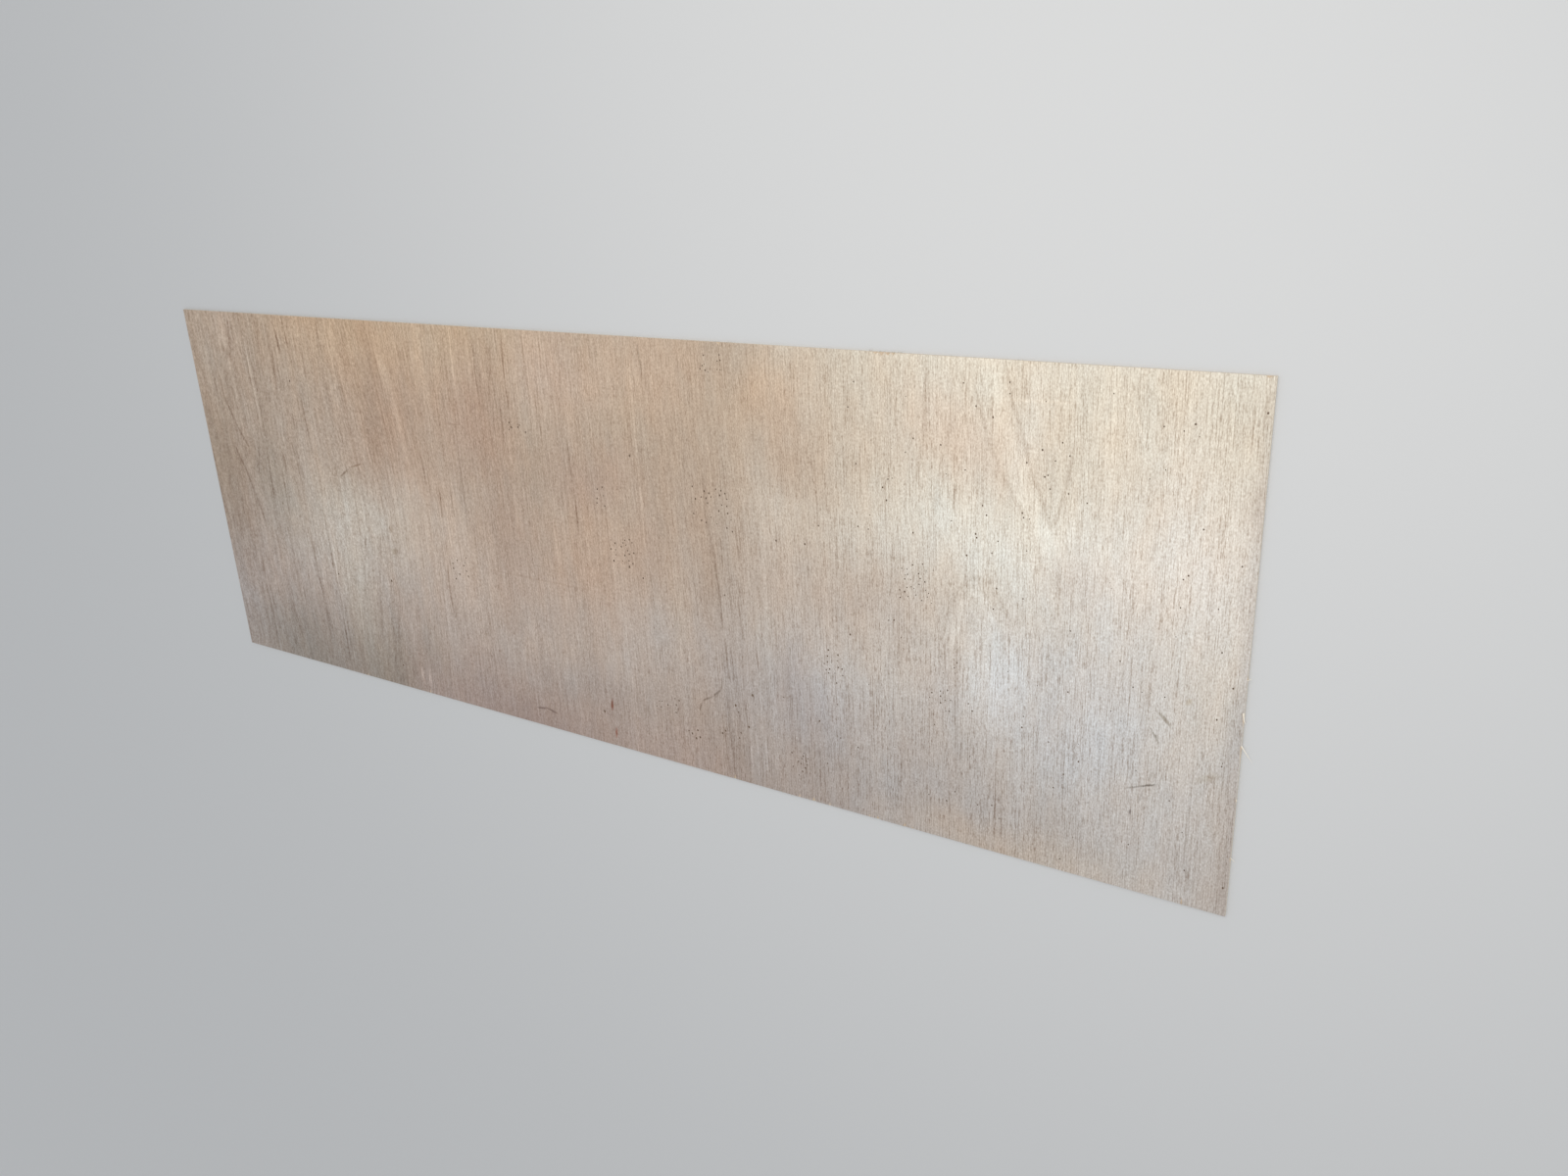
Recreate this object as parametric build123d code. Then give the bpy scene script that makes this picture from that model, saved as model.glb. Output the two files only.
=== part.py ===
from build123d import *

import os
from math import sqrt
from typing import NamedTuple

# A sheet of thin three-ply plywood, in millimetres, lying on its back face.
# X runs along the two sawn edges, Y follows the grain of the good face, and Z points out of it.
# The origin is the middle of the back face.

# The sheet
sheet_length = 2440.0
sheet_width = 845.0
face_veneer = 2.0
core_veneer = 1.0
sheet_thickness = 2 * face_veneer + core_veneer

# How far a cutting shape reaches past the surface that it opens
overcut = 1.0

left_end = -sheet_length / 2
right_end = sheet_length / 2
front_edge = -sheet_width / 2
back_edge = sheet_width / 2
good_face = sheet_thickness


class Chip(NamedTuple):
    """Face veneer that the saw broke out of an edge cut across the grain."""

    place: float  # from the end of the sheet that its list names
    run: float  # how far it reaches in along the grain
    span: float  # how wide it is at the edge
    lean: float  # how far its tip drifts towards +X
    bite: float  # its depth at the edge, as a share of the face veneer


class Tear(NamedTuple):
    """The scar that a peeled sliver leaves along the arris of the right end."""

    root: float  # from the front edge to where the sliver holds on
    tip: float  # from the front edge to where the scar runs out
    span: float  # how wide it is at the root
    bite: float  # its depth at the root, as a share of the face veneer


class Split(NamedTuple):
    """A crack along the grain, down through the face veneer."""

    place: float  # from the right end to the middle of the crack
    near: float  # from the back edge to its nearer tip
    far: float  # from the back edge to its further tip
    gap: float  # how wide it opens in the middle
    lean: float  # how far its nearer tip stands towards +X of the other


# Chips in the front edge
front_chips_from_left = [
    Chip(place=448, run=6, span=4.5, lean=0.3, bite=0.4),
    Chip(place=663, run=9, span=5, lean=-0.6, bite=0.6),
]
front_chips_from_right = [
    Chip(place=927, run=10, span=5.5, lean=0.8, bite=0.7),
    Chip(place=779, run=7, span=4, lean=0.0, bite=0.5),
    Chip(place=747, run=8, span=9, lean=-1.2, bite=0.8),
    Chip(place=713, run=6, span=4.5, lean=0.5, bite=0.5),
    Chip(place=630, run=5, span=4, lean=0.2, bite=0.4),
    Chip(place=612, run=7, span=5.5, lean=-0.4, bite=0.6),
    Chip(place=558, run=7, span=6.5, lean=0.9, bite=0.7),
    Chip(place=542, run=5, span=4, lean=0.0, bite=0.4),
    Chip(place=67.5, run=14, span=3, lean=0.2, bite=0.6),
]

# Chips in the back edge. Four of them run together as one ragged bruise,
# and the last leaves the corner beside it standing as a small ear.
back_chips_from_right = [
    Chip(place=905, run=5, span=9, lean=0.6, bite=0.8),
    Chip(place=602, run=4, span=10, lean=-0.8, bite=0.7),
    Chip(place=592, run=6, span=12, lean=0.4, bite=1.0),
    Chip(place=581, run=5, span=11, lean=0.9, bite=0.9),
    Chip(place=571, run=4, span=8, lean=-0.3, bite=0.6),
    Chip(place=9, run=3, span=11, lean=-1.5, bite=0.8),
]

# Scars on the right end
right_end_tears = [
    Tear(root=404, tip=412, span=1.2, bite=0.5),
    Tear(root=351, tip=328, span=2.8, bite=0.9),
    Tear(root=297, tip=264, span=1.4, bite=0.6),
    Tear(root=208, tip=201, span=1.2, bite=0.4),
    Tear(root=105, tip=96, span=1.5, bite=0.5),
]

# Cracks in the good face
good_face_splits = [
    Split(place=1081, near=7, far=70, gap=1.1, lean=-4.0),
    Split(place=1180, near=20, far=43, gap=0.8, lean=0.5),
]


def wedge(outline, tip):
    """A solid that narrows from a closed outline to a point."""
    return loft([Face(Wire(outline)), Vertex(tip)], ruled=True)


def chip_cutter(x, edge, inward, chip):
    """A hollow that is deepest at the sawn edge and rises along the grain to its tip."""
    # The outline stands clear of the edge, so it is a little larger than the chip's mouth.
    stretch = (chip.run + overcut) / chip.run
    outline_x = x - chip.lean * (stretch - 1)
    outline_y = edge - inward * overcut
    half_span = chip.span / 2 * stretch
    depth = chip.bite * face_veneer * stretch
    left = Vector(outline_x - half_span, outline_y, good_face)
    floor = Vector(outline_x, outline_y, good_face - depth)
    right = Vector(outline_x + half_span, outline_y, good_face)
    lift = Vector(0, 0, overcut)
    outline = [
        ThreePointArc(left, floor, right),
        Line(right, right + lift),
        Line(right + lift, left + lift),
        Line(left + lift, left),
    ]
    tip = Vector(x + chip.lean, edge + inward * chip.run, good_face)
    return wedge(outline, tip)


def tear_cutter(tear):
    """A quarter-round hollow in the arris, square at its root and running out at its tip."""
    root = front_edge + tear.root
    depth = tear.bite * face_veneer
    arris = Vector(right_end, root, good_face)
    inner = arris - Vector(tear.span, 0, 0)
    lower = arris - Vector(0, 0, depth)
    belly = arris - Vector(tear.span, 0, depth) * sqrt(0.5)
    aside = Vector(overcut, 0, 0)
    above = Vector(0, 0, overcut)
    outline = [
        ThreePointArc(inner, belly, lower),
        Line(lower, lower + aside),
        Line(lower + aside, arris + aside + above),
        Line(arris + aside + above, inner + above),
        Line(inner + above, inner),
    ]
    tip = Vector(right_end, front_edge + tear.tip, good_face)
    return wedge(outline, tip)


def split_cutter(split):
    """A lens-shaped slot with its long axis along the grain."""
    x = right_end - split.place
    top = good_face + overcut
    near_tip = Vector(x + split.lean / 2, back_edge - split.near, top)
    far_tip = Vector(x - split.lean / 2, back_edge - split.far, top)
    middle = (near_tip + far_tip) / 2
    half_gap = Vector(split.gap / 2, 0, 0)
    outline = [
        ThreePointArc(near_tip, middle + half_gap, far_tip),
        ThreePointArc(far_tip, middle - half_gap, near_tip),
    ]
    return extrude(Face(Wire(outline)), face_veneer + overcut, dir=(0, 0, -1))


def plywood_sheet():
    """The sheet, less what was chipped, torn or split out of its good face."""
    blank = Box(
        sheet_length,
        sheet_width,
        sheet_thickness,
        align=(Align.CENTER, Align.CENTER, Align.MIN),
    )
    cutters = [
        chip_cutter(left_end + chip.place, front_edge, 1, chip)
        for chip in front_chips_from_left
    ]
    cutters += [
        chip_cutter(right_end - chip.place, front_edge, 1, chip)
        for chip in front_chips_from_right
    ]
    cutters += [
        chip_cutter(right_end - chip.place, back_edge, -1, chip)
        for chip in back_chips_from_right
    ]
    cutters += [tear_cutter(tear) for tear in right_end_tears]
    cutters += [split_cutter(split) for split in good_face_splits]
    return blank - cutters


os.makedirs("parts", exist_ok=True)
export_step(plywood_sheet(), "parts/plywood_sheet.step")
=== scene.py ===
import math
import random

import bmesh
import bpy
from mathutils import Euler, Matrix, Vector


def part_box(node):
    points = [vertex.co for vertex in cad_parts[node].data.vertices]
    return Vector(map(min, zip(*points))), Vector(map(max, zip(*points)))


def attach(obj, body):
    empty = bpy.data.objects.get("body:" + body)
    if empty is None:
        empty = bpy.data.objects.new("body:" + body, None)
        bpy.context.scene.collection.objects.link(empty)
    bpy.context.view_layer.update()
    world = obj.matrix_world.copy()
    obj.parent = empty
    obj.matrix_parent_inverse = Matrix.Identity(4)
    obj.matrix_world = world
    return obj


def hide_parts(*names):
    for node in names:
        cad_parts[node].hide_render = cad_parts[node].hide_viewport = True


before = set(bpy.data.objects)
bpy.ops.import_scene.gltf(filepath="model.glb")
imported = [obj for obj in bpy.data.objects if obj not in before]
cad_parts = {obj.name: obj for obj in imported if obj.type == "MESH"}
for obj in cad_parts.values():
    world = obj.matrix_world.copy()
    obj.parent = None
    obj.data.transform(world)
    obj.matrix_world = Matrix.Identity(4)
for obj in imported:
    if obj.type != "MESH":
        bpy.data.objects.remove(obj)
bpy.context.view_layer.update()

# Sizes are in metres. Places on the good face are measured from its front left corner:
# x along the sheet, y across it, along the grain.
SHEET = "plywood_sheet"
LOW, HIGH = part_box(SHEET)
LENGTH = HIGH.x - LOW.x
WIDTH = HIGH.y - LOW.y
THICKNESS = HIGH.z - LOW.z
FACE_VENEER = 0.002
CORE_BOTTOM = FACE_VENEER
CORE_TOP = THICKNESS - FACE_VENEER


def place(x, y, height):
    """A point over the good face, in the frame's own coordinates."""
    return Vector((LOW.x + x, LOW.y + y, HIGH.z + height))


def colour(red, green, blue):
    """A colour by its eight-bit display values, as the linear one that a shader takes."""
    parts = []
    for value in (red, green, blue):
        share = value / 255
        parts.append(share / 12.92 if share <= 0.04045 else ((share + 0.055) / 1.055) ** 2.4)
    return (*parts, 1.0)


class Graph:
    """One material's node tree, written as sums."""

    def __init__(self, name):
        self.material = bpy.data.materials.new(name)
        self.material.use_nodes = True
        self.tree = self.material.node_tree
        self.shader = self.tree.nodes["Principled BSDF"]

    def node(self, kind, **settings):
        made = self.tree.nodes.new(kind)
        for name, value in settings.items():
            setattr(made, name, value)
        return made

    def feed(self, socket, value):
        """Links a socket's value into another socket, or sets a plain value."""
        if isinstance(value, bpy.types.NodeSocket):
            self.tree.links.new(value, socket)
        else:
            socket.default_value = value

    def coordinates(self, kind):
        """The x, y and z of one kind of texture coordinates, such as Object or Normal."""
        source = self.node("ShaderNodeTexCoord")
        parts = self.node("ShaderNodeSeparateXYZ")
        self.feed(parts.inputs[0], source.outputs[kind])
        return tuple(parts.outputs)

    def math(self, operation, *values):
        made = self.node("ShaderNodeMath", operation=operation)
        for socket, value in zip(made.inputs, values):
            self.feed(socket, value)
        return made.outputs[0]

    def add(self, a, b):
        return self.math("ADD", a, b)

    def times(self, a, b):
        return self.math("MULTIPLY", a, b)

    def plus(self, value, pattern, amount):
        """A value, with an amount of a pattern added."""
        return self.add(value, self.times(pattern, amount))

    def between(self, share, start, end):
        """The value that lies that share of the way from start to end."""
        return self.plus(start, share, end - start)

    def total(self, *parts):
        result = parts[0]
        for part in parts[1:]:
            result = self.add(result, part)
        return result

    def step(self, value, low, high):
        """A smooth step from 0 at low to 1 at high. low may be the greater."""
        made = self.node("ShaderNodeMapRange", interpolation_type="SMOOTHSTEP", clamp=False)
        if low < high:
            limits = (low, high, 0.0, 1.0)
        else:
            limits = (high, low, 1.0, 0.0)
        for socket, part in zip(made.inputs, (value, *limits)):
            self.feed(socket, part)
        return made.outputs[0]

    def ramp(self, value, full, height):
        """A straight ramp from nothing up to a height, which it reaches at full and keeps."""
        return self.times(self.math("MINIMUM", value, full), height / full)

    def point(self, x, y, z=0.0):
        made = self.node("ShaderNodeCombineXYZ")
        for socket, value in zip(made.inputs, (x, y, z)):
            self.feed(socket, value)
        return made.outputs[0]

    def noise(self, x, y, features, detail=1.0):
        """Smooth noise, from about -0.5 to 0.5. A metre of x and of y takes that many features."""
        made = self.node("ShaderNodeTexNoise", noise_dimensions="2D")
        where = self.point(self.times(x, features[0]), self.times(y, features[1]))
        self.feed(made.inputs["Vector"], where)
        made.inputs["Scale"].default_value = 1.0
        made.inputs["Detail"].default_value = detail
        return self.add(made.outputs[0], -0.5)

    def blend(self, share, a, b, blend_type="MIX"):
        """Colour a, with that share of colour b mixed in."""
        made = self.node("ShaderNodeMix", data_type="RGBA", blend_type=blend_type)
        self.feed(made.inputs[0], share)
        self.feed(made.inputs[6], a)
        self.feed(made.inputs[7], b)
        return made.outputs[2]

    def shade(self, tone, factor):
        """A colour times a plain factor."""
        made = self.node("ShaderNodeVectorMath", operation="SCALE")
        self.feed(made.inputs[0], tone if isinstance(tone, bpy.types.NodeSocket) else tone[:3])
        self.feed(made.inputs["Scale"], factor)
        return made.outputs[0]

    def mottled(self, tone, pattern, amount):
        """A colour that a pattern makes lighter and darker."""
        return self.shade(tone, self.plus(1.0, pattern, amount))

    def tinted(self, tone, amount, tint):
        """A colour times one plus an amount of a tint."""
        parts = [self.plus(1.0, amount, part) for part in tint]
        made = self.node("ShaderNodeVectorMath", operation="MULTIPLY")
        self.feed(made.inputs[0], tone)
        self.feed(made.inputs[1], self.point(*parts))
        return made.outputs[0]

    def spot(self, point, x, y, half_x, half_y, turn=0.0):
        """1 in the middle of an ellipse, falling to 0 at its rim. turn is in degrees."""
        made = self.node("ShaderNodeMapping", vector_type="TEXTURE")
        self.feed(made.inputs["Vector"], point)
        made.inputs["Location"].default_value = (x, y, 0.0)
        made.inputs["Rotation"].default_value = (0.0, 0.0, math.radians(turn))
        made.inputs["Scale"].default_value = (half_x, half_y, 1.0)
        sphere = self.node("ShaderNodeTexGradient", gradient_type="SPHERICAL")
        self.feed(sphere.inputs["Vector"], made.outputs[0])
        return sphere.outputs["Fac"]

    def tint_spots(self, tone, point, rows, full):
        """A colour times the tint of each ellipse in a list. Full is how far in a tint is whole."""
        for *ellipse, tint in rows:
            share = self.step(self.spot(point, *ellipse), 0.0, full)
            tone = self.blend(share, tone, (*tint, 1.0), "MULTIPLY")
        return tone


# Noises over the good face, as how many features a metre takes along the sheet and across it
WAVE = (5.0, 2.5)
RIPPLE = (7.0, 3.0)
BLUSH = (24.0, 9.0)
FIBRE_WAVE = (1.1, 1.2)
FIGURE_WAVE = (40.0, 14.0)
MARK_RIMS = (260.0, 90.0)
SEAM_WAVE = (3.0, 9.0)
# Noises over cut and broken wood, as how many features a metre takes of its two directions
LONG_STREAKS = (60.0, 5000.0)
CUT_PORES = (2600.0, 3200.0)
PINHOLE_MOTTLE = (900.0, 900.0)
SPLINTER_STREAKS = (1400.0, 220.0)
# How much lighter and darker each of these noises makes its wood, and the grain the wood in a chip
LONG_CONTRAST = 0.35
CUT_CONTRAST = 0.70
PINHOLE_CONTRAST = 0.8
SPLINTER_CONTRAST = 0.5
BROKEN_CONTRAST = 0.5

# Base tones of the veneer, and the stretches of x and y in which one turns into the next
# The darker pink at the left and the paler cream at the right are partly the veneer's own tone, partly
# painted shade and painted light
SHADED_PINK_VENEER = (0.472, 0.369, 0.286, 1.0)
TAN_VENEER = (0.486, 0.379, 0.286, 1.0)
LIT_CREAM_VENEER = (0.668, 0.599, 0.495, 1.0)
PINK_TO_TAN = (0.2, 1.5)
TAN_TO_CREAM = (1.45, 1.95)
BACK_TO_FRONT = (0.75, 0.15)
# How much red, green and blue are added towards the front, and with a blush
FRONT_TINT = (-0.04, 0.01, 0.14)
BLUSH_TINT = (0.05, -0.05, -0.14)
# How far the noise moves the patches along the sheet and across it, and the start of the cream
PATCH_WANDER_X = 0.08
PATCH_WANDER_Y = 0.10
CREAM_WANDER = 0.2

# The soft patches, and what each multiplies the veneer's tone by
# They are partly the veneer's own tone and partly painted light and shade
PATCHES = [
    # x, y, half_x, half_y, tint
    # The back left, lighter partly as painted light
    (0.48, 0.84, 0.36, 0.18, (1.18, 1.08, 0.94)),
    (0.13, 0.80, 0.08, 0.12, (1.12, 1.11, 1.11)),
    (0.68, 0.64, 0.26, 0.28, (1.04, 0.94, 0.88)),
    (0.59, 0.74, 0.05, 0.16, (1.08, 1.09, 1.07)),
    (0.92, 0.66, 0.14, 0.18, (1.02, 0.94, 0.92)),
    (0.88, 0.86, 0.40, 0.20, (1.15, 1.09, 0.98)),
    (1.12, 0.76, 0.20, 0.14, (1.12, 1.10, 1.14)),
    (1.34, 0.80, 0.22, 0.16, (1.11, 1.07, 1.05)),
    # The left end, darker partly as painted shade, and the pale middle of its leaf
    (0.00, 0.42, 0.24, 0.34, (0.79, 0.75, 0.69)),
    (0.02, 0.14, 0.16, 0.22, (0.98, 1.02, 1.07)),
    (0.45, 0.37, 0.36, 0.26, (1.14, 1.23, 1.24)),
    (0.45, 0.33, 0.20, 0.16, (1.05, 1.05, 1.06)),
    (0.595, 0.38, 0.035, 0.50, (1.06, 1.06, 1.06)),
    (0.80, 0.36, 0.28, 0.24, (1.16, 1.14, 1.11)),
    (0.62, 0.43, 0.22, 0.14, (1.07, 1.11, 1.14)),
    (0.22, 0.46, 0.12, 0.26, (0.87, 0.89, 0.88)),
    (0.46, 0.20, 0.10, 0.18, (1.05, 1.08, 1.06)),
    (0.82, 0.34, 0.04, 0.30, (1.05, 1.05, 1.05)),
    # The middle
    (1.20, 0.40, 0.26, 0.22, (1.07, 0.98, 0.91)),
    (0.97, 0.46, 0.12, 0.32, (0.93, 0.87, 0.84)),
    (1.21, 0.59, 0.20, 0.12, (0.95, 0.90, 0.90)),
    (1.08, 0.58, 0.10, 0.08, (0.94, 0.93, 0.92)),
    (1.185, 0.40, 0.035, 0.60, (1.06, 1.06, 1.06)),
    (1.34, 0.46, 0.05, 0.14, (0.96, 0.93, 0.92)),
    (1.34, 0.26, 0.20, 0.16, (1.04, 1.09, 1.14)),
    (1.41, 0.32, 0.05, 0.14, (1.05, 1.04, 1.01)),
    (1.52, 0.28, 0.10, 0.20, (0.97, 1.02, 1.08)),
    (1.50, 0.41, 0.04, 0.12, (0.94, 0.91, 0.88)),
    (1.45, 0.60, 0.16, 0.30, (0.96, 0.94, 0.93)),
    (1.62, 0.75, 0.14, 0.10, (1.08, 1.03, 0.98)),
    # The front band, darker partly as painted shade
    (0.24, 0.01, 0.42, 0.26, (0.63, 0.66, 0.65)),
    (0.53, 0.02, 0.20, 0.24, (0.78, 0.80, 0.76)),
    (0.70, 0.13, 0.07, 0.14, (0.87, 0.87, 0.85)),
    (0.95, -0.02, 0.75, 0.23, (0.75, 0.69, 0.70)),
    (1.16, 0.13, 0.28, 0.09, (0.91, 0.93, 0.96)),
    (1.40, 0.02, 0.20, 0.12, (1.07, 1.05, 1.05)),
    (1.76, 0.02, 0.60, 0.38, (0.71, 0.69, 0.70)),
    (2.30, 0.02, 0.60, 0.42, (0.79, 0.78, 0.79)),
    (2.10, 0.00, 0.34, 0.10, (1.04, 0.98, 0.90)),
    (2.16, 0.10, 0.07, 0.12, (0.93, 0.92, 0.91)),
    (1.68, 0.22, 0.18, 0.18, (0.89, 0.94, 1.02)),
    (1.60, 0.10, 0.06, 0.14, (1.09, 1.12, 1.14)),
    (1.60, 0.26, 0.04, 0.16, (1.09, 1.12, 1.13)),
    (1.96, 0.20, 0.28, 0.32, (0.90, 0.88, 0.87)),
    (1.94, 0.29, 0.09, 0.10, (0.95, 0.94, 0.95)),
    # The right, whose bluish white patches are partly painted reflection
    (1.61, 0.52, 0.10, 0.20, (1.06, 1.09, 1.12)),
    (1.69, 0.70, 0.16, 0.18, (0.90, 0.84, 0.81)),
    (1.69, 0.64, 0.10, 0.12, (0.92, 0.89, 0.87)),
    (1.80, 0.42, 0.30, 0.16, (0.86, 0.81, 0.79)),
    (2.00, 0.56, 0.34, 0.14, (1.11, 1.17, 1.23)),
    (1.98, 0.72, 0.24, 0.14, (0.99, 0.93, 0.92)),
    (2.10, 0.72, 0.04, 0.14, (1.06, 1.09, 1.12)),
    (2.13, 0.57, 0.12, 0.12, (1.04, 1.04, 1.04)),
    (2.18, 0.52, 0.10, 0.08, (0.94, 0.93, 0.94)),
    (2.05, 0.33, 0.12, 0.14, (1.08, 1.14, 1.21)),
    (2.08, 0.29, 0.06, 0.12, (1.03, 1.06, 1.09)),
    (2.20, 0.37, 0.22, 0.20, (0.94, 0.97, 1.03)),
    (2.35, 0.58, 0.26, 0.24, (1.13, 1.15, 1.22)),
    (2.20, 0.90, 0.60, 0.26, (1.08, 1.09, 1.10)),
    (2.45, 0.42, 0.04, 0.90, (0.82, 0.82, 0.84)),
    (2.45, 0.07, 0.07, 0.24, (0.89, 0.83, 0.78)),
    (2.19, 0.22, 0.15, 0.13, (0.96, 1.00, 1.05)),
    (1.98, 0.03, 0.26, 0.07, (1.04, 1.00, 0.96)),
    (2.45, 0.67, 0.05, 0.09, (0.90, 0.87, 0.86)),
]


def patchy_tone(graph, x, y):
    """The veneer's broad tones, partly painted light and shade: pink at the left, cream at the right,
    with soft patches.
    """
    wave = graph.noise(x, y, WAVE, detail=2.0)
    ripple = graph.noise(x, y, RIPPLE)
    tone = graph.blend(graph.step(x, *PINK_TO_TAN), SHADED_PINK_VENEER, TAN_VENEER)
    creamy = graph.step(graph.plus(x, wave, CREAM_WANDER), *TAN_TO_CREAM)
    tone = graph.blend(creamy, tone, LIT_CREAM_VENEER)
    where = graph.point(graph.plus(x, wave, PATCH_WANDER_X), graph.plus(y, ripple, PATCH_WANDER_Y))
    tone = graph.tint_spots(tone, where, PATCHES, full=1.0)
    tone = graph.tinted(tone, graph.step(y, *BACK_TO_FRONT), FRONT_TINT)
    blush = graph.noise(x, y, BLUSH, detail=2.0)
    return graph.tinted(tone, blush, BLUSH_TINT)


# The grain's layers, lines and then specks: how many features a metre takes across the grain
# and along it, and how strongly they show at the left and at the right of the sheet
GRAIN = [
    # across, along, left, right
    (6.0, 0.5, 0.15, 0.07),
    (16.0, 0.8, 0.17, 0.05),
    (42.0, 2.0, 0.16, 0.05),
    (95.0, 3.5, 0.32, 0.11),
    (100.0, 11.0, 0.37, 0.17),
    (110.0, 34.0, 0.44, 0.16),
    (140.0, 36.0, 0.00, 0.20),
    (190.0, 28.0, 0.00, 0.31),
    (120.0, 90.0, 0.26, 0.05),
]
SPECKLE = [
    (240.0, 110.0, 0.45, 0.04),
    (330.0, 160.0, 0.55, 0.26),
    (520.0, 240.0, 0.45, 0.60),
]

# Ovals in which the fibres leave their straight lines, as x, y, half_x and half_y, how far each
# moves them, and how far they wander anywhere
BULGE = (0.60, 0.43, 0.26, 0.55)
BULGE_SHIFT = -0.05
SLANT = (1.52, 0.10, 0.30, 0.75)
SLANT_SHIFT = -0.03
FIBRE_WANDER = 0.014
# The lines take their x with this share of its square added, so they stand closer to the right
CLOSING = 0.52
# The stretch of x in which a layer goes from its left strength to its right one
LEFT_TO_RIGHT = (0.1, 2.2)

# The pores are short dark ticks in rows: how many rows a metre takes, how many features each
# takes along a row, and the sum of both noises at which a tick starts and is whole
PORE_ROWS = 540.0
PORES_IN_ROW = 7.0
TICKS_IN_ROW = 62.0
TICK_EDGE = (0.09, 0.24)
# How much lighter a tick is at the left and at the right, the oval in which ticks show more, as
# x, y, half_x and half_y, and the share by which they do in its middle
TICK_TONES = (-0.08, -0.25)
COARSE_PORES = (1.80, 0.15, 0.60, 0.60)
COARSER = 0.6

# How far the figure's lines shake, and how much the ticks break them up
FIGURE_SHAKE = 0.008
FIGURE_BREAKS = -2.0
# Half a stroke's length, as a share of the way between its points. Over a half, strokes overlap.
STROKE_REACH = 0.62
# How far in from its rim a stroke has its full tone
STROKE_FULL = 0.45
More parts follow.
